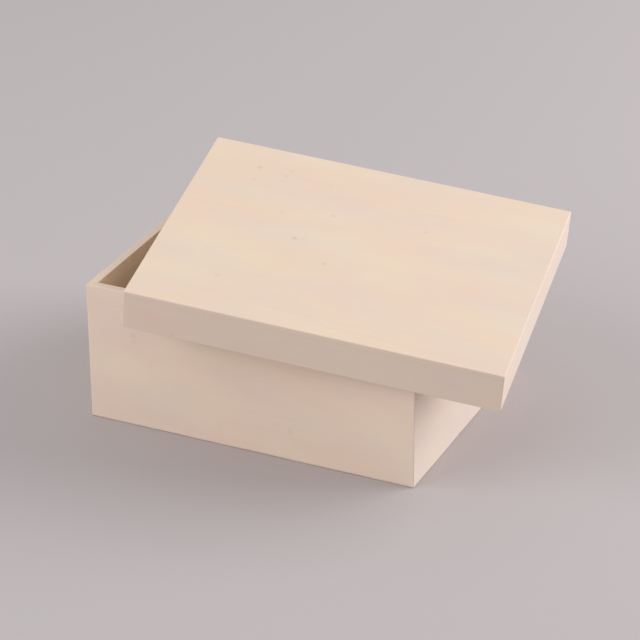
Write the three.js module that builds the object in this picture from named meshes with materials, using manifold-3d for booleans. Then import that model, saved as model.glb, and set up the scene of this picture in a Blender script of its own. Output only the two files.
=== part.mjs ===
// Rectangular wooden box with a loose lid.
// The box is four mitred walls round a let-in bottom. The lid is a panel on four mitred rails,
// a little larger than the box, and lies askew across the open top.
// Millimetres, +Z up. The origin is the middle of the box's underside, +X runs to the right along
// the front wall and +Y from the front to the back.

import * as THREE from "three";
import { ConvexGeometry } from "three/addons/geometries/ConvexGeometry.js";
import { mergeVertices } from "three/addons/utils/BufferGeometryUtils.js";
import Module from "manifold-3d";

const wasm = await Module();
wasm.setup();

// Box
const boxWidth = 240;
const boxDepth = 184;
const boxHeight = 100.5;
const wallThickness = 6;
const bottomThickness = 4;
const bottomLetIn = 3; // how far the bottom reaches into each wall
const bottomPlay = 0.2; // round the bottom, in the walls' rebate

// Lid
const lidHeight = 28.5; // rail foot to panel top
const lidPanelThickness = 4;
const railThickness = 6;
const lidPlay = 1.5; // on each side, between the closed lid's rails and the box
const glueLine = 0.3; // between the lid's pieces

// Edges
const edgeEase = 0.8; // taken off every outside edge by sanding
const cutOverrun = 5; // how far a cutting block runs past what it cuts

// Where the lid lies
const frontRest = 48.2; // from the box's left end to the left rail's seat on the front wall
const lidTurn = THREE.MathUtils.degToRad(8.4); // the right end is turned to the back
const restGap = 0.3; // between the lid and what it lies on
const settleSteps = 12;

// Derived sizes
const lidInnerWidth = boxWidth + 2 * lidPlay;
const lidInnerDepth = boxDepth + 2 * lidPlay;
const lidWidth = lidInnerWidth + 2 * railThickness;
const lidDepth = lidInnerDepth + 2 * railThickness;
const railHeight = lidHeight - lidPanelThickness - glueLine;
const hollowDepth = lidHeight - lidPanelThickness;

// Each side's board is the one before it turned a quarter turn about Z.
const sides = ["front", "right", "back", "left"];

// A closed three.js geometry as a solid that can be cut.
function toSolid(geometry) {
  geometry.deleteAttribute("normal");
  geometry.deleteAttribute("uv");
  const merged = mergeVertices(geometry);
  const mesh = new wasm.Mesh({
    numProp: 3,
    vertProperties: merged.attributes.position.array,
    triVerts: new Uint32Array(merged.index.array),
  });
  return new wasm.Manifold(mesh);
}

// A solid back as a three.js geometry.
function toGeometry(solid) {
  const mesh = solid.getMesh();
  const geometry = new THREE.BufferGeometry();
  geometry.setAttribute("position", new THREE.BufferAttribute(mesh.vertProperties, 3));
  geometry.setIndex(new THREE.BufferAttribute(mesh.triVerts, 1));
  const faceted = geometry.toNonIndexed();
  faceted.computeVertexNormals();
  return faceted;
}

// A plain block, centred on the Z axis, from one height to another.
function block(width, depth, low, high) {
  const geometry = new THREE.BoxGeometry(width, depth, high - low);
  geometry.translate(0, 0, (low + high) / 2);
  return geometry;
}

// A block standing on Z = 0 whose every edge is cut off at 45 degrees: the hull of three points
// round each corner, each point drawn in along two of the three axes.
function easedBlock(width, depth, height) {
  const points = [];
  for (const right of [-1, 1]) {
    for (const back of [-1, 1]) {
      for (const top of [-1, 1]) {
        for (const sharpAxis of ["x", "y", "z"]) {
          const half = new THREE.Vector3(width, depth, height).divideScalar(2);
          const kept = half[sharpAxis];
          half.subScalar(edgeEase);
          half[sharpAxis] = kept;
          points.push(half.multiply(new THREE.Vector3(right, back, top)));
        }
      }
    }
  }
  const geometry = new ConvexGeometry(points);
  geometry.translate(0, 0, height / 2);
  return geometry;
}

// The prism that picks one mitred board out of a rectangular ring. Its plan is a trapezium whose
// slanted sides pass through the ring's corners at 45 degrees, drawn in by half the mitre gap.
function mitrePrism(quarterTurn, width, depth, height, thickness, mitreGap) {
  const lengthwise = quarterTurn % 2 === 0;
  const halfLength = (lengthwise ? width : depth) / 2 - mitreGap * Math.SQRT1_2;
  const outerFace = -(lengthwise ? depth : width) / 2;
  const reach = thickness + cutOverrun;
  const plan = new THREE.Shape([
    new THREE.Vector2(-halfLength - cutOverrun, outerFace - cutOverrun),
    new THREE.Vector2(halfLength + cutOverrun, outerFace - cutOverrun),
    new THREE.Vector2(halfLength - reach, outerFace + reach),
    new THREE.Vector2(reach - halfLength, outerFace + reach),
  ]);
  const geometry = new THREE.ExtrudeGeometry(plan, {
    depth: height + 2 * cutOverrun,
    bevelEnabled: false,
  });
  geometry.translate(0, 0, -cutOverrun);
  geometry.rotateZ(quarterTurn * Math.PI / 2);
  return geometry;
}

// One named piece in pale, finely sanded, unfinished wood.
function piece(name, geometry, color) {
  const material = new THREE.MeshStandardMaterial({ color, roughness: 0.78, metalness: 0 });
  const mesh = new THREE.Mesh(geometry, material);
  mesh.name = name;
  return mesh;
}

// The box's four walls: an eased block, hollowed, with a rebate for the bottom round its foot.
function boxWalls() {
  const seatWidth = boxWidth - 2 * (wallThickness - bottomLetIn);
  const seatDepth = boxDepth - 2 * (wallThickness - bottomLetIn);
  const hollow = block(
    boxWidth - 2 * wallThickness,
    boxDepth - 2 * wallThickness,
    -cutOverrun,
    boxHeight + cutOverrun,
  );
  const ring = toSolid(easedBlock(boxWidth, boxDepth, boxHeight))
    .subtract(toSolid(hollow))
    .subtract(toSolid(block(seatWidth, seatDepth, -cutOverrun, bottomThickness)));
  return sides.map((side, quarterTurn) => {
    const prism = toSolid(mitrePrism(quarterTurn, boxWidth, boxDepth, boxHeight, wallThickness, 0));
    return piece(`box_${side}_wall`, toGeometry(ring.intersect(prism)), "#e7d3bf");
  });
}

// The bottom lies in the walls' rebate, against its shoulder, flush with their feet.
function boxBottom() {
  const shrink = 2 * (wallThickness - bottomLetIn + bottomPlay);
  const geometry = new THREE.BoxGeometry(boxWidth - shrink, boxDepth - shrink, bottomThickness);
  const mesh = piece("box_bottom_panel", geometry, "#e3cdb6");
  mesh.position.z = bottomThickness / 2;
  return mesh;
}

// The lid's four rails: the lower part of an eased block, hollowed.
function lidRails() {
  const hollow = block(lidInnerWidth, lidInnerDepth, -cutOverrun, lidHeight + cutOverrun);
  const above = block(
    lidWidth + cutOverrun,
    lidDepth + cutOverrun,
    railHeight,
    lidHeight + cutOverrun,
  );
  const ring = toSolid(easedBlock(lidWidth, lidDepth, lidHeight))
    .subtract(toSolid(hollow))
    .subtract(toSolid(above));
  return sides.map((side, quarterTurn) => {
    const prism = toSolid(
      mitrePrism(quarterTurn, lidWidth, lidDepth, lidHeight, railThickness, glueLine),
    );
    return piece(`lid_${side}_rail`, toGeometry(ring.intersect(prism)), "#e8d4c0");
  });
}

// The lid's panel: the top of the same eased block, so its edges run flush with the rails.
function lidPanel() {
  const below = block(
    lidWidth + cutOverrun,
    lidDepth + cutOverrun,
    -cutOverrun,
    lidHeight - lidPanelThickness,
  );
  const solid = toSolid(easedBlock(lidWidth, lidDepth, lidHeight)).subtract(toSolid(below));
  return piece("lid_top_panel", toGeometry(solid), "#efdecb");
}

// Lays the lid across the box. It rests on three points: the left rail's inner foot edge on the
// front wall, the back rail's inner foot edge on the back wall, and the panel's underside on the
// box's front right corner. Turned by lidTurn, it lies as far forward as its front rail allows,
// which hangs in front of the box and just clears that corner.
function layAcross(lid) {
  const upright = new THREE.Vector3(0, 0, 1);
  const heading = new THREE.Vector3(-Math.sin(lidTurn), Math.cos(lidTurn), 0);
  const rim = boxHeight + restGap;
  const frontEdge = edgeEase - boxDepth / 2;
  const onFront = new THREE.Vector3(frontRest - boxWidth / 2, frontEdge, rim);
  const onCorner = new THREE.Vector3(boxWidth / 2 - edgeEase, frontEdge, rim);
  const onBack = new THREE.Vector3(onCorner.x, -frontEdge, rim);
  const right = new THREE.Vector3();
  const backwards = new THREE.Vector3();
  const up = new THREE.Vector3();

  for (let step = 0; step < settleSteps; step += 1) {
    // The rails' feet lie in a plane through the two rail seats. It dips until the corner stands
    // as high above it as the lid is hollow.
    const axis = onBack.clone().sub(onFront).normalize();
    const toCorner = onCorner.clone().sub(onFront);
    const span = toCorner.clone().cross(axis).length();
    up.copy(upright).applyAxisAngle(axis, Math.asin(hollowDepth / span));
    backwards.copy(heading).addScaledVector(upright, -heading.dot(up) / up.z).normalize();
    right.crossVectors(backwards, up);

    // The front rail's inner foot edge passes the box's front right upright edge. What it has to
    // spare there moves the seat on the back wall to the left.
    const passed = new THREE.Vector3(boxWidth / 2 - edgeEase, -boxDepth / 2, rim);
    passed.addScaledVector(upright, -passed.clone().sub(onFront).dot(up) / up.z);
    const spare = lidInnerDepth - restGap - onBack.clone().sub(passed).dot(backwards);
    onBack.x -= spare / Math.sin(lidTurn);
  }

  const seatToSeat = onBack.clone().sub(onFront).dot(backwards);
  lid.position.copy(onFront);
  lid.position.addScaledVector(right, lidInnerWidth / 2);
  lid.position.addScaledVector(backwards, seatToSeat - lidInnerDepth / 2);
  lid.quaternion.setFromRotationMatrix(new THREE.Matrix4().makeBasis(right, backwards, up));
}

const box = new THREE.Group();
box.add(...boxWalls(), boxBottom());

const lid = new THREE.Group();
lid.add(lidPanel(), ...lidRails());
layAcross(lid);

const woodenBox = new THREE.Group();
woodenBox.add(box, lid);

export default woodenBox;
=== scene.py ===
"""A rectangular box of pale limewood, with its loose lid lying askew across the open top.

Each piece is one board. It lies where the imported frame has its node, and is finished as a joiner
leaves it: planed, mitred, glued, and sanded by hand, so that its outside edges are softly rounded.
Lengths are in mm until a mesh is made, and angles in degrees.
"""
import math

import bpy
import numpy as np
from mathutils import Matrix, Vector


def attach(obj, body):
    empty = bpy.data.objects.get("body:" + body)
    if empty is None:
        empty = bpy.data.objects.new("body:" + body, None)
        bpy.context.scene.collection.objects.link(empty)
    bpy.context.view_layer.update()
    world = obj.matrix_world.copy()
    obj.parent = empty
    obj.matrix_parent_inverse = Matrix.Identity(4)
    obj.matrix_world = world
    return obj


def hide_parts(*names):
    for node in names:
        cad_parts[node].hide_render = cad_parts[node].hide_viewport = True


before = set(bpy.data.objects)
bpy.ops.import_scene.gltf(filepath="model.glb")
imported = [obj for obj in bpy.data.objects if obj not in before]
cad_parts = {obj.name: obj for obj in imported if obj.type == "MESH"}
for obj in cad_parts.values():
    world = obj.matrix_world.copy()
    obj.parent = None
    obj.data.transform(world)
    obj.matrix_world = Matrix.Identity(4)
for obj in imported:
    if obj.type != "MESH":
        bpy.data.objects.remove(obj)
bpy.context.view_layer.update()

MM = 0.001
SIDES = ("front", "right", "back", "left")  # each is the one before it turned a quarter turn

# Arrises, the edges where two faces meet
ARRIS = 0.7  # how far an outside one is rounded over, on each of its faces
FOOT_ARRIS = 1.4  # an outside one at the foot of the box's walls
INSIDE_ARRIS = 0.4
SEAM_ARRIS = 0.05  # what planing leaves on an edge that is then glued
CURVE_POWER = 2.5  # 2 is a quarter circle, and more runs out softer into the faces
CURVE_STEPS = 4  # from a face to the middle of the curve
SWELL = 0.2  # how much wider and narrower a hand-sanded arris gets along its length
SWELL_WAVES = ((71.0, 0.6, 1.0), (27.0, 0.4, 2.3))  # length, share and phase factor
# In radians, where the swell starts along a panel's long edges, and along its short ones
TOP_PHASES = (0.4, 2.9)
BOTTOM_PHASES = (0.0, 0.0)
RUN_OUT = 0.3  # flat wood between a rounding and the next points
MITRE_RUN = 0.5  # what takes the bend's points before a mitre, too deep in a board to bend
POINT_STEP = 9.0  # between the points along a board
SHARP_ANGLE = 35  # an edge that turns by more than this is shaded as a sharp one

# Joints
BOX_CLEAR = (0.001, 0.001, 0.0)  # how far inside the frame's own sides the boards stay
LID_CLEAR = (0.07, 0.07, 0.07)  # more for the lid, which lies aslant and has rounder corners
HAIRLINE = 0.02  # what is open of a closed glue joint
BOTTOM_PLAY = 0.2  # round the bottom, in the walls' rebate

# Where in the plank each board was cut from
PLANK_STEP = 410.0  # from one cut to the next
WALL_PLANK = 0  # the first of the walls
BOTTOM_PLANK = 4
RAIL_PLANK = 5  # the first of the rails
PANEL_PLANK = 9

# Colours. Each board's own lies between the two of its body, and the others are alike in all.
# Where a board faces the right-hand lamp, and on the lid's sides, its tone also holds painted
# light.
CREAM_AND_ROSE = {"box": ("#eedac5", "#e3d5ca"), "lid": ("#ead5be", "#e1d2c6")}
TONES = {
    # the warm yellow used inside the box and the lid is painted bounce light
    "pink": "#fff3f7", "painted_bounce": "#fde6c9", "latewood": "#dcc3a8", "fibre": "#dfc8b2",
    # the paler arris colour is partly sanded wood and partly a painted highlight
    "sanded_and_highlight": "#f2e0ce", "knot": "#a78c75",
}
WALL_TONES_AND_LIGHT_TINT = (0.2, 0.95, 0.4, 0.15)  # from cream (0) to rose (1), in the order of SIDES; the right wall's rose is partly a painted cool tint of the light from the right
# Rosier than the panel's top: partly painted shade on the lid's sides, and on the right rail partly
# a painted cool tint of the light from the right
RAIL_TONES_AND_PAINTED_LIGHT = (0.5, 1.0, 0.5, 0.5)
BOTTOM_TONE = 0.3
PANEL_TONE = 0.2
PANEL_EDGE_TONE_AND_SHADE = 0.5  # rosier on its sawn edges, and painted shade, like the rails, on the lid's sides

# Figure. A pair of lengths is a pattern's unit, along the grain and across it.
DRIFT_UNIT = (80, 30)
DRIFT = 1.6  # how far a drift of colour reaches from cream to rose
BLUSH = 0.6  # how strong a blush of pink gets
PITH = (0.0, 18.0, 70.0)  # from the middle of the growth rings to a board's own zero
RING = 3.4  # from one growth ring to the next
RING_STRETCH = 10  # how much longer than wide they wander
RING_WANDER = 26  # as the wave node counts it, several rings either way
RING_PATCH_UNIT = (150, 22)
RING_START, RING_FULL = 0.4, 0.7  # the noise at which they begin to show, and show in full
LATEWOOD = 0.12  # how strong the growth rings get
FIBRE_UNIT = (16, 0.9)
FIBRE_START, FIBRE_FULL = 0.4, 0.8  # the same for a fibre
FIBRE_DEPTH = 0.22  # how strong the fibres get
SANDED_AND_HIGHLIGHT = 0.1  # how strong the paler colour of the arrises is: partly cleaner sanded wood, partly a painted highlight
KNOT_DEPTH = 0.26  # how dark the middle of the darkest pin knot is
KNOT_RADIUS = 3.0  # where a pin knot has faded out

# Surface
SCRATCH_UNIT = (7, 0.6)
SCRATCH_DEPTH = 0.03
SCRATCH_STRENGTH = 0.6  # of the bump that draws them
NOISE_LOW, NOISE_HIGH = 0.3, 0.7  # where nearly all of a noise's values lie
SMOOTHEST, ROUGHEST = 0.72, 0.84  # the shader's roughness
WOOD_IOR = 1.5

# Where the pin knots are, along and across each board from its middle, or from its foot, and how
# dark each is beside the darkest. Those of the panel and the front wall lie where the real box
# has them.
PANEL_KNOTS = (
    (-88, 73, 0.9), (-66, 76, 0.5), (-68, 69, 0.4), (-87, 58, 0.4), (-58, 25, 0.45),
    (-24, 34, 0.6), (40, 38, 0.5), (-41, -1, 1.0), (-35, -1, 0.3), (-14, -22, 0.6),
    (-76, -60, 0.35), (-93, -32, 0.25), (-36, 69, 0.25), (-14, 63, 0.2),
)
WALL_KNOTS = (
    ((-85, 69, 0.55), (-85, 64, 0.25), (31, 22, 0.4), (-21, 14, 0.3)),
    ((22, 71, 0.5),),
    ((-64, 38, 0.6), (71, 80, 0.4), (78, 77, 0.3)),
    ((-41, 24, 0.4), (35, 58, 0.6)),
)
RAIL_KNOTS = ((-93, 3, 0.3),)  # of the front rail
BOTTOM_KNOTS = ((40, 12, 0.6), (-55, -38, 0.5))

# Stage
FLOOR_REACH = 6000.0  # from its middle to each side
FLOOR_COLOUR = "#bfb8b9"
FLOOR_ROUGHNESS = 1.0
FLOOR_SPECULAR = 0.1
WORLD_STRENGTH = 0.57
LAMP_SIZE = 2000.0
LAMP_DISTANCE = 2400.0
LAMP_TARGET = (20.0, 0.0, 70.0)
LAMPS = (("right_light", 125, 25, 50), ("left_light", -45, 25, 26))  # azimuth, elevation, watts
CAMERA_PLACE = (742.4, -1564.3, 945.1)
CAMERA_TURN = (62.810, 0.369, 24.897)  # about X, Y and Z
CAMERA_LENS = 159.2
CAMERA_SENSOR = 36.0

MIX_FIRST, MIX_SECOND, MIXED = 6, 7, 2  # places of the Mix node's colour sockets
RANDOM = np.random.default_rng(11)  # for where the swell starts along the walls and rails


def frame_points(node):
    """The separate corner points of a node of the frame, where 0.01 mm apart is separate."""
    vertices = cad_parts[node].data.vertices
    flat = np.empty(len(vertices) * 3, np.float32)
    vertices.foreach_get("co", flat)
    points = flat.reshape(-1, 3).astype(float) / MM
    return points[np.unique(points.round(2), axis=0, return_index=True)[1]]


def lid_axes():
    """Right, back and up of the lid: where its panel spreads most, next and least."""
    points = frame_points("lid_top_panel")
    right, back, _ = np.linalg.svd(points - points.mean(0))[2]
    right, back = right * np.sign(right[0]), back * np.sign(back[1])
    return np.array([right, back, np.cross(right, back)])


class Place:
    """A body's own axes, with their origin below the middle of its boards, and its size."""

    def __init__(self, body, axes, boards, clear):
        spread = np.concatenate([frame_points(f"{body}_{board}") for board in boards]) @ axes.T
        low, high = spread.min(0) + clear, spread.max(0) - clear
        self.body, self.axes, self.size = body, axes, high - low
        self.origin = np.array([*(low + high)[:2] / 2, low[2]]) @ axes

    def corners(self, board):
        """Lowest and highest corner of a board in these axes, kept within the body's size."""
        spread = (frame_points(f"{self.body}_{board}") - self.origin) @ self.axes.T
        lowest, highest = self.size * [-0.5, -0.5, 0], self.size * [0.5, 0.5, 1]
        return np.maximum(spread.min(0), lowest), np.minimum(spread.max(0), highest)

    def in_frame(self, points):
        """Points of these axes in those of the frame."""
        return self.origin + points @ self.axes


def curve(share):
    """Where the rounding of an arris is at a share of the way from a face (0) to its middle (1).

    It is the direction (1, lean), with lean the tangent of that share of 45 degrees, brought to
    length 1 in the norm of CURVE_POWER: how far out of the face, and how far along it.
    """
    lean = np.tan(np.abs(share) * math.pi / 4)
    length = (1 + lean**CURVE_POWER) ** (1 / CURVE_POWER)
    return 1 / length, lean / length


def swell(place, half_length, phase):
    """How much an arris is wider at a place along it: a sum of sines, faded out at both ends."""
    waves = sum(
        share * np.sin(2 * math.pi * place / length + phase * factor)
        for length, share, factor in SWELL_WAVES
    )
    return SWELL * waves * (1 - (place / half_length) ** 4)


def grid_quads(rows, columns, closed):
    """The quads over a grid of points, and from its last column to its first if it is closed."""
    row, column = np.meshgrid(
        np.arange(rows - 1), np.arange(columns - (not closed)), indexing="ij"
    )
    here, there = row * columns, (row + 1) * columns
    following = (column + 1) % columns
    quads = (here + column, there + column, there + following, here + following)
    return np.stack([corner.ravel() for corner in quads], 1)


def section(corners, widths):
    """A board's closed section with rounded corners: (into the board, up) = base + width * pull.

    Round a corner the pull turns from minus the way in to plus the way out, along the two halves
    of the curve. Beside them are the points that lie RUN_OUT further along both straights. A
    corner of width 0 stays one sharp point. With each point go how near it is to the middle of an
    arris, its corner's width and its corner's number.
    """
    out, along = curve(np.linspace(0, 1, CURVE_STEPS + 1))
    leave, arrive = np.append(out, along[-2::-1]), np.append(along, out[-2::-1])
    rounding = np.minimum(leave, arrive) / out[-1]
    corners = np.array(corners, float)
    rows = []
    for index, (corner, width) in enumerate(zip(corners, widths)):
        way_in = corner - corners[index - 1]
        way_out = corners[(index + 1) % len(corners)] - corner
        way_in, way_out = way_in / np.linalg.norm(way_in), way_out / np.linalg.norm(way_out)
        base = np.tile(corner, (len(out) * 2 + 1, 1))
        base[0] -= RUN_OUT * way_in
        base[-1] += RUN_OUT * way_out
        pull = np.outer(arrive - 1, way_in) + np.outer(1 - leave, way_out)
        pull = np.concatenate([[-way_in], pull, [way_out]])
        middle = np.concatenate([[0], rounding, [0]]) * (width >= INSIDE_ARRIS)
        if width == 0:
            base, pull, middle = corner[None], np.zeros((1, 2)), np.zeros(1)
        count = len(base)
        rows.append((base, pull, middle, np.full(count, width), np.full(count, index)))
    return [np.concatenate(part) for part in zip(*rows)]


def mitred_board(length, shape, phases, end_phases):
    """One side of a mitred frame: its section carried along the frame's outside.

    At the depth n of a section's point the way is straight, and at both ends bends round a centre
    that lies ARRIS (or n, where that is more) inside both faces, on the curve scaled to what of
    ARRIS is left at n. It ends in the mitre at the middle of that bend. Each arris of the section
    has its phase of the swell, and so has each end's upright arris.
    """
    base, pull, middle, width, corner = shape
    half = length / 2
    inner = np.linspace(RUN_OUT / half - 1, 1 - RUN_OUT / half, round(length / POINT_STEP))
    bends = np.linspace(1 / CURVE_STEPS, 1, CURVE_STEPS)
    flat = np.concatenate([-np.ones(CURVE_STEPS + 1), inner, np.ones(CURVE_STEPS + 1)])
    turn = np.concatenate([-bends[::-1], np.zeros(len(inner) + 2), bends])
    flat, turn = flat[:, None], turn[:, None]
    out, along = curve(turn)

    spread = width * (1 + swell(flat * half, half, np.array(phases)[corner]))
    inward, up = (base[:, axis] + spread * pull[:, axis] for axis in range(2))
    height = base[:, 1].max()
    end_phase = np.where(flat < 0, *end_phases)
    bend = ARRIS * (1 + swell(up - height / 2, height / 2, end_phase))
    left = np.maximum(bend - inward, 0)
    slack = MITRE_RUN * (1 - left / bend)
    centre = np.maximum(bend, inward)
    across = flat * (half - centre - slack) - turn * HAIRLINE * math.sqrt(0.5)
    across += np.sign(turn) * (left * along + slack * np.abs(turn))
    points = np.stack([across, centre - left * out, up], -1)

    rows, columns = across.shape
    quads = grid_quads(rows, columns, closed=True)
    ends = [np.arange(columns), np.arange(columns)[::-1] + (rows - 1) * columns]
    arris = np.maximum(middle, left / bend * along / out[-1])
    return points.reshape(-1, 3), quads.tolist() + [end.tolist() for end in ends], arris.ravel()


def slab(low, high, side_width, bottom_width, phases):
    """A board whose edges all show: base + width * (pull + lean), point by point of a lattice.

    Along each axis the lattice has the curve's steps at both ends, with base on the face and a
    pull of one width inwards, and flat wood between them, where base moves on and pull is 0. The
    lean is each step's tangent, brought to length 1 over the three axes in the curve's norm.
    """
    half = (high - low) / 2
    steps = np.tan(np.linspace(0, math.pi / 4, CURVE_STEPS + 1))
    bases, pulls, leans = [], [], []
    for axis, size in enumerate(half):
        first = bottom_width if axis == 2 else side_width
        start, stop = first + RUN_OUT - size, size - side_width - RUN_OUT
        inner = np.linspace(start, stop, max(2, round(size * 2 / POINT_STEP)))
        end = np.full(CURVE_STEPS + 1, size)
        bases.append(np.concatenate([-end, inner, end]))
        pulls.append(np.concatenate([end / size, inner * 0, -end / size]))
        leans.append(np.concatenate([-steps[::-1], inner * 0, steps]))

    places, quads, count = [], [], 0
    for axis in range(3):
        one, other = (axis + 1) % 3, (axis + 2) % 3
        rows, columns = len(bases[one]), len(bases[other])
        for last in (0, len(bases[axis]) - 1):
            place = np.full((rows * columns, 3), last)
            place[:, one] = np.repeat(np.arange(rows), columns)
            place[:, other] = np.tile(np.arange(columns), rows)
            face = grid_quads(rows, columns, closed=False) + count
            quads.append(face if last else face[:, ::-1])
            places.append(place)
            count += len(place)
    places, welded = np.unique(np.concatenate(places), axis=0, return_inverse=True)
    quads = welded.reshape(-1)[np.concatenate(quads)]

    base, pull, lean = (
        np.stack([part[axis][places[:, axis]] for axis in range(3)], 1)
        for part in (bases, pulls, leans)
    )
    lean /= (np.abs(lean) ** CURVE_POWER).sum(1, keepdims=True) ** (1 / CURVE_POWER)
    share = base / half
    wider = 1 + sum(
        share[:, 1 - axis] ** 2
        * swell(base[:, axis], half[axis], phases[axis] + share[:, 1 - axis])
        for axis in range(2)
    )
    width = side_width * wider[:, None] * np.ones(3)
    width[base[:, 2] < 0, 2] *= bottom_width / side_width
    points = (low + high) / 2 + base + width * (pull + lean)
    arris = (1 - np.abs(lean).max(1)) / (1 - 0.5 ** (1 / CURVE_POWER))
    return points, quads.tolist(), np.minimum(arris, 1)


def finish_board(place, name, shape, tone, plank, turn=0):
    """Makes a board a piece that stands for its node and rides on the node's body.

    The shape's points are in the body's own axes turned back by some quarter turns. The wood
    reads where in the plank each point was, the tone there less half a drift, how far into an
    arris the point is, and whether it is on the inside.
    """
    points, faces, arris, inside, cut = shape
    quarter_turn = np.array(Matrix.Rotation(-turn * math.pi / 2, 3, "Z"))
    mesh = bpy.data.meshes.new(name)
    mesh.from_pydata((place.in_frame(points @ quarter_turn) * MM).tolist(), [], faces)
    mesh.shade_smooth()
    mesh.set_sharp_from_angle(angle=math.radians(SHARP_ANGLE))
    for layer_name, kind, field, values in (
        ("grain", "FLOAT_VECTOR", "vector", (cut + [plank * PLANK_STEP, 0, 0]) * MM),
        ("tone", "FLOAT", "value", np.broadcast_to(tone - DRIFT / 2, len(points))),
        ("arris", "FLOAT", "value", arris),
        ("inside", "FLOAT", "value", inside),
    ):
        layer = mesh.attributes.new(layer_name, kind, "POINT")
        layer.data.foreach_set(field, values.astype(np.float32).ravel())
    piece = bpy.data.objects.new(name, mesh)
    bpy.context.scene.collection.objects.link(piece)
    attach(piece, place.body)
    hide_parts(f"{place.body}_{name}")
    return piece


def mitred_frame(place, kind, shape, tones, first_plank):
    """Four mitred boards round a body, one for each side's node."""
    base, *_, corner = shape
    upright = RANDOM.uniform(0, 2 * math.pi, len(SIDES))
    boards = []
    for turn, side in enumerate(SIDES):
        length, depth = place.size[:2] if turn % 2 == 0 else place.size[1::-1]
        phases = RANDOM.uniform(0, 2 * math.pi, corner.max() + 1)
        ends = (upright[turn], upright[(turn + 1) % len(SIDES)])
        points, faces, arris = mitred_board(length, shape, phases, ends)
        cut = points[:, [0, 2, 1]]
        # The inside faces, where the warm bounce of light is painted
        inside = points[:, 1] > base[:, 0].max() - SEAM_ARRIS
        board = (points - [0, depth / 2, 0], faces, arris, inside, cut)
        boards.append(
            finish_board(place, f"{side}_{kind}", board, tones[turn], first_plank + turn, turn)
        )
    return boards


def linear(colour):
    """An sRGB hex colour as the linear one that a shader takes."""
    srgb = np.array([int(colour[start : start + 2], 16) for start in (1, 3, 5)]) / 255
    rgb = np.where(srgb <= 0.04045, srgb / 12.92, ((srgb + 0.055) / 1.055) ** 2.4)
    return (*rgb, 1.0)


def add(tree, kind, inputs, **settings):
    """Adds a node to a tree, with its settings, and with a value or a link for each input."""
    node = tree.nodes.new(kind)
    for name, value in settings.items():
        setattr(node, name, value)
    for name, value in inputs.items():
        if isinstance(value, bpy.types.NodeSocket):
            tree.links.new(value, node.inputs[name])
        else:
            node.inputs[name].default_value = value
    return node


def per_unit(along, across):
    """The scale that makes a pattern's unit so many mm long with the grain and over it."""
    return (1 / (along * MM), 1 / (across * MM), 1 / (across * MM))


def in_plank(knots, plank):
    """Knots of a board where they are in the plank."""
    return [(along + plank * PLANK_STEP, across, strength) for along, across, strength in knots]


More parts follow.
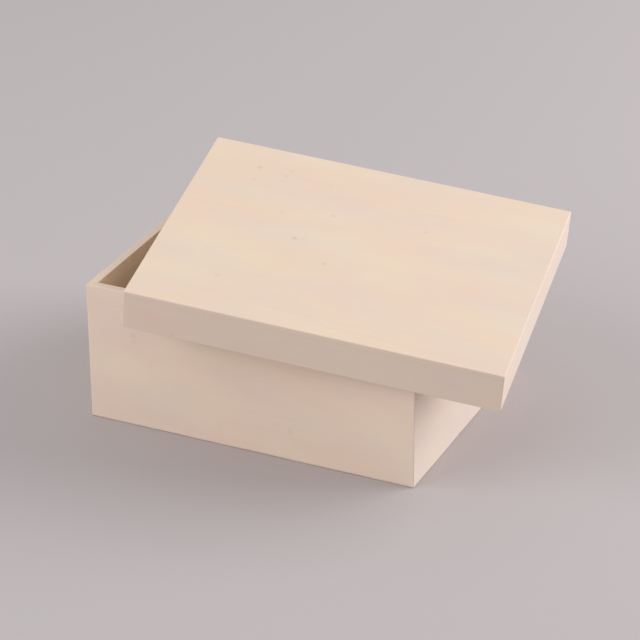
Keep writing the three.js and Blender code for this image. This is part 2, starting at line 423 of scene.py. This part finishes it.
def sanded_limewood(name, tones, knots):
    """Limewood, planed and then sanded with fine paper, with no finish on it.

    To the eye that is a matt, even cream that drifts between yellow and pink over a few cm, with
    a close straight grain that barely shows, and a few faint brown pin knots. Inside the box and
    the lid a warmer yellow is painted: the warm light that bounces about in there.
    """
    material = bpy.data.materials.new(name)
    material.use_nodes = True
    tree = material.node_tree
    tree.nodes.clear()

    # What the board's own mesh says at each point
    own = {
        layer_name: add(tree, "ShaderNodeAttribute", {}, attribute_name=layer_name)
        for layer_name in ("grain", "tone", "arris", "inside")
    }
    place = own["grain"].outputs["Vector"]

    # Drifts of colour: between cream and rose about the board's own tone, and a blush of pink
    # that comes and goes apart from that
    wide = add(tree, "ShaderNodeMapping", {"Vector": place, "Scale": per_unit(*DRIFT_UNIT)})
    drift = add(tree, "ShaderNodeTexNoise", {"Vector": wide.outputs[0], "Scale": 1, "Detail": 2})
    warm = add(
        tree, "ShaderNodeMath",
        {0: drift.outputs["Fac"], 1: DRIFT, 2: own["tone"].outputs["Fac"]},
        operation="MULTIPLY_ADD", use_clamp=True,
    )
    channels = add(tree, "ShaderNodeSeparateColor", {"Color": drift.outputs["Color"]})
    blush = add(
        tree, "ShaderNodeMapRange",
        {
            "Value": channels.outputs["Green"], "From Min": NOISE_LOW, "From Max": NOISE_HIGH,
            "To Max": BLUSH,
        },
    )

    # Growth rings about a pith that lies outside the board. They wander by several rings, and
    # show only here and there. At scale 1 the node's own rings lie pi / 10 apart.
    pith = add(
        tree, "ShaderNodeMapping",
        {"Vector": place, "Location": Vector(PITH) * MM, "Scale": (1 / RING_STRETCH, 1, 1)},
    )
    rings = add(
        tree, "ShaderNodeTexWave",
        {
            "Vector": pith.outputs[0], "Scale": math.pi / 10 / (RING * MM),
            "Distortion": RING_WANDER, "Detail": 2, "Detail Scale": 0.2, "Detail Roughness": 0.6,
        },
        wave_type="RINGS", rings_direction="X", wave_profile="SIN",
    )
    patches = add(
        tree, "ShaderNodeMapping", {"Vector": place, "Scale": per_unit(*RING_PATCH_UNIT)}
    )
    shown = add(tree, "ShaderNodeTexNoise", {"Vector": patches.outputs[0], "Scale": 1, "Detail": 1})
    clear = add(
        tree, "ShaderNodeMapRange",
        {
            "Value": shown.outputs["Fac"], "From Min": RING_START, "From Max": RING_FULL,
            "To Max": LATEWOOD,
        },
    )
    late = add(
        tree, "ShaderNodeMath", {0: rings.outputs["Fac"], 1: clear.outputs[0]},
        operation="MULTIPLY",
    )

    # Fibres, drawn 0.9 mm wide, because real ones, at 0.03 mm, are too fine to show
    fine = add(tree, "ShaderNodeMapping", {"Vector": place, "Scale": per_unit(*FIBRE_UNIT)})
    fibres = add(
        tree, "ShaderNodeTexNoise",
        {"Vector": fine.outputs[0], "Scale": 1, "Detail": 3, "Roughness": 0.6},
    )
    streak = add(
        tree, "ShaderNodeMapRange",
        {
            "Value": fibres.outputs["Fac"], "From Min": FIBRE_START, "From Max": FIBRE_FULL,
            "To Max": FIBRE_DEPTH,
        },
    )

    # Pin knots, each a dot that fades out round its middle and runs through the board
    through = add(tree, "ShaderNodeVectorMath", {0: place, 1: (1, 1, 0)}, operation="MULTIPLY")
    knot = 0.0
    for along, across, strength in knots:
        away = add(
            tree, "ShaderNodeVectorMath",
            {0: through.outputs[0], 1: (along * MM, across * MM, 0)},
            operation="DISTANCE",
        )
        dot = add(
            tree, "ShaderNodeMapRange",
            {
                "Value": away.outputs["Value"], "From Max": KNOT_RADIUS * MM,
                "To Min": KNOT_DEPTH * strength, "To Max": 0,
            },
            interpolation_type="SMOOTHSTEP",
        )
        knot = add(
            tree, "ShaderNodeMath", {0: dot.outputs[0], 1: knot}, operation="MAXIMUM"
        ).outputs[0]

    # The arrises are where the paper cut last and cleanest, and their paler colour is partly a
    # painted highlight
    clean_and_highlight = add(
        tree, "ShaderNodeMath", {0: own["arris"].outputs["Fac"], 1: SANDED_AND_HIGHLIGHT}, operation="MULTIPLY"
    )

    # The pink tints what lies under it, and the others cover it
    colour = linear(tones["cream"])
    # The arris mix is partly the cleaner sanded wood and partly a painted highlight
    # The inside mix paints the warm bounce of light inside the box and the lid
    for amount, tone_name in (
        (warm.outputs[0], "rose"), (blush.outputs[0], "pink"),
        (own["inside"].outputs["Fac"], "painted_bounce"), (late.outputs[0], "latewood"),
        (streak.outputs[0], "fibre"), (clean_and_highlight.outputs[0], "sanded_and_highlight"), (knot, "knot"),
    ):
        colour = add(
            tree, "ShaderNodeMix",
            {0: amount, MIX_FIRST: colour, MIX_SECOND: linear(tones[tone_name])},
            data_type="RGBA", blend_type="MULTIPLY" if tone_name == "pink" else "MIX",
        ).outputs[MIXED]

    # The paper's scratches and the nap between them, drawn 0.6 mm wide, because real ones are too
    # fine to show
    scratches = add(tree, "ShaderNodeMapping", {"Vector": place, "Scale": per_unit(*SCRATCH_UNIT)})
    nap = add(
        tree, "ShaderNodeTexNoise",
        {"Vector": scratches.outputs[0], "Scale": 1, "Detail": 4, "Roughness": 0.65},
    )
    relief = add(
        tree, "ShaderNodeBump",
        {
            "Height": nap.outputs["Fac"], "Strength": SCRATCH_STRENGTH,
            "Distance": SCRATCH_DEPTH * MM,
        },
    )
    dull = add(
        tree, "ShaderNodeMapRange",
        {
            "Value": nap.outputs["Fac"], "From Min": NOISE_LOW, "From Max": NOISE_HIGH,
            "To Min": SMOOTHEST, "To Max": ROUGHEST,
        },
    )
    shader = add(
        tree, "ShaderNodeBsdfPrincipled",
        {
            "Base Color": colour, "Roughness": dull.outputs[0], "IOR": WOOD_IOR,
            "Normal": relief.outputs[0],
        },
    )
    add(tree, "ShaderNodeOutputMaterial", {"Surface": shader.outputs[0]})
    return material


def softbox(name, azimuth, elevation, watts):
    """A square lamp that faces the object. Its azimuth runs from the front round to the right."""
    lamp = bpy.data.lights.new(name, "AREA")
    lamp.size, lamp.energy = LAMP_SIZE * MM, watts
    turn, rise = math.radians(azimuth), math.radians(elevation)
    away = Vector(
        (math.sin(turn) * math.cos(rise), -math.cos(turn) * math.cos(rise), math.sin(rise))
    )
    stand = bpy.data.objects.new(name, lamp)
    bpy.context.scene.collection.objects.link(stand)
    stand.location = (Vector(LAMP_TARGET) + away * LAMP_DISTANCE) * MM
    stand.rotation_euler = away.to_track_quat("Z", "Y").to_euler()


# The box: four walls, rebated inside their feet for the bottom
box = Place("box", np.eye(3), [f"{side}_wall" for side in SIDES], BOX_CLEAR)
wall_low, wall_high = box.corners("right_wall")
bottom_low, bottom_high = box.corners("bottom_panel")
wall, height, shoulder = wall_high[0] - wall_low[0], wall_high[2], bottom_high[2]
rebate = box.size[0] / 2 - bottom_high[0] - BOTTOM_PLAY
wall_section = section(
    [(0, 0), (0, height), (wall, height), (wall, shoulder), (rebate, shoulder), (rebate, 0)],
    [FOOT_ARRIS, ARRIS, INSIDE_ARRIS, SEAM_ARRIS, 0, SEAM_ARRIS],
)
walls = mitred_frame(box, "wall", wall_section, WALL_TONES_AND_LIGHT_TINT, WALL_PLANK)
points, faces, arris = slab(bottom_low, bottom_high, INSIDE_ARRIS, INSIDE_ARRIS, BOTTOM_PHASES)
# The bottom's upper face is inside, where the warm bounce of light is painted
inside = points[:, 2] > shoulder - SEAM_ARRIS
shape = (points, faces, arris, inside, points)
bottom = finish_board(box, "bottom_panel", shape, BOTTOM_TONE, BOTTOM_PLANK)

# The lid: four rails, and a panel on them whose edges run flush with theirs
lid = Place("lid", lid_axes(), ["top_panel", *(f"{side}_rail" for side in SIDES)], LID_CLEAR)
rail_low, rail_high = lid.corners("right_rail")
panel_low, panel_high = lid.corners("top_panel")
rail, foot_to_panel = rail_high[0] - rail_low[0], panel_low[2] - HAIRLINE
rail_section = section(
    [(0, 0), (0, foot_to_panel), (rail, foot_to_panel), (rail, 0)],
    [ARRIS, SEAM_ARRIS, SEAM_ARRIS, INSIDE_ARRIS],
)
rails = mitred_frame(lid, "rail", rail_section, RAIL_TONES_AND_PAINTED_LIGHT, RAIL_PLANK)
points, faces, arris = slab(panel_low, panel_high, ARRIS, SEAM_ARRIS, TOP_PHASES)
# The panel's underside between the rails is inside, where the warm bounce of light is painted
over_rails = (np.abs(points[:, :2]) > panel_high[:2] - rail).any(1)
inside = (points[:, 2] < panel_low[2] + SEAM_ARRIS) & ~over_rails
# The panel's edges take the rails' rosier tone: painted shade on the lid's sides, and partly their
# sawn wood
tone = np.where(points[:, 2] < panel_high[2] - ARRIS / 2, PANEL_EDGE_TONE_AND_SHADE, PANEL_TONE)
shape = (points, faces, arris, inside, points)
panel = finish_board(lid, "top_panel", shape, tone, PANEL_PLANK)

# The wood of each kind of board
wall_knots = [
    knot for turn, knots in enumerate(WALL_KNOTS) for knot in in_plank(knots, WALL_PLANK + turn)
]
for boards, body, kind, knots in (
    (walls, "box", "wall", wall_knots),
    ([bottom], "box", "bottom", in_plank(BOTTOM_KNOTS, BOTTOM_PLANK)),
    (rails, "lid", "rail", in_plank(RAIL_KNOTS, RAIL_PLANK)),
    ([panel], "lid", "panel", in_plank(PANEL_KNOTS, PANEL_PLANK)),
):
    cream, rose = CREAM_AND_ROSE[body]
    wood = sanded_limewood(
        f"sanded_limewood_{kind}", {"cream": cream, "rose": rose, **TONES}, knots
    )
    for board in boards:
        board.data.materials.append(wood)

# The stage: a plain pale grey floor
floor_mesh = bpy.data.meshes.new("floor")
corners = np.array([(-1, -1, 0), (1, -1, 0), (1, 1, 0), (-1, 1, 0)]) * FLOOR_REACH * MM
floor_mesh.from_pydata(corners.tolist(), [], [(0, 1, 2, 3)])
floor = bpy.data.objects.new("floor", floor_mesh)
bpy.context.scene.collection.objects.link(floor)
paint = bpy.data.materials.new("matt_grey_paint")
paint.use_nodes = True
paint_shader = paint.node_tree.nodes["Principled BSDF"]
paint_shader.inputs["Base Color"].default_value = linear(FLOOR_COLOUR)
paint_shader.inputs["Roughness"].default_value = FLOOR_ROUGHNESS
paint_shader.inputs["Specular IOR Level"].default_value = FLOOR_SPECULAR
floor_mesh.materials.append(paint)

# Soft studio light: an even world, and a broad lamp on either side
world = bpy.data.worlds.new("studio")
bpy.context.scene.world = world
world.use_nodes = True
world.node_tree.nodes["Background"].inputs["Color"].default_value = linear("#ffffff")
world.node_tree.nodes["Background"].inputs["Strength"].default_value = WORLD_STRENGTH
for lamp in LAMPS:
    softbox(*lamp)

# The camera looks down at the front right corner, from where the photograph was taken
camera = bpy.data.objects.new("camera", bpy.data.cameras.new("camera"))
camera.data.lens, camera.data.sensor_width = CAMERA_LENS, CAMERA_SENSOR
camera.location = Vector(CAMERA_PLACE) * MM
camera.rotation_euler = [math.radians(angle) for angle in CAMERA_TURN]
bpy.context.scene.collection.objects.link(camera)
bpy.context.scene.camera = camera
bpy.context.scene.view_settings.view_transform = "Standard"
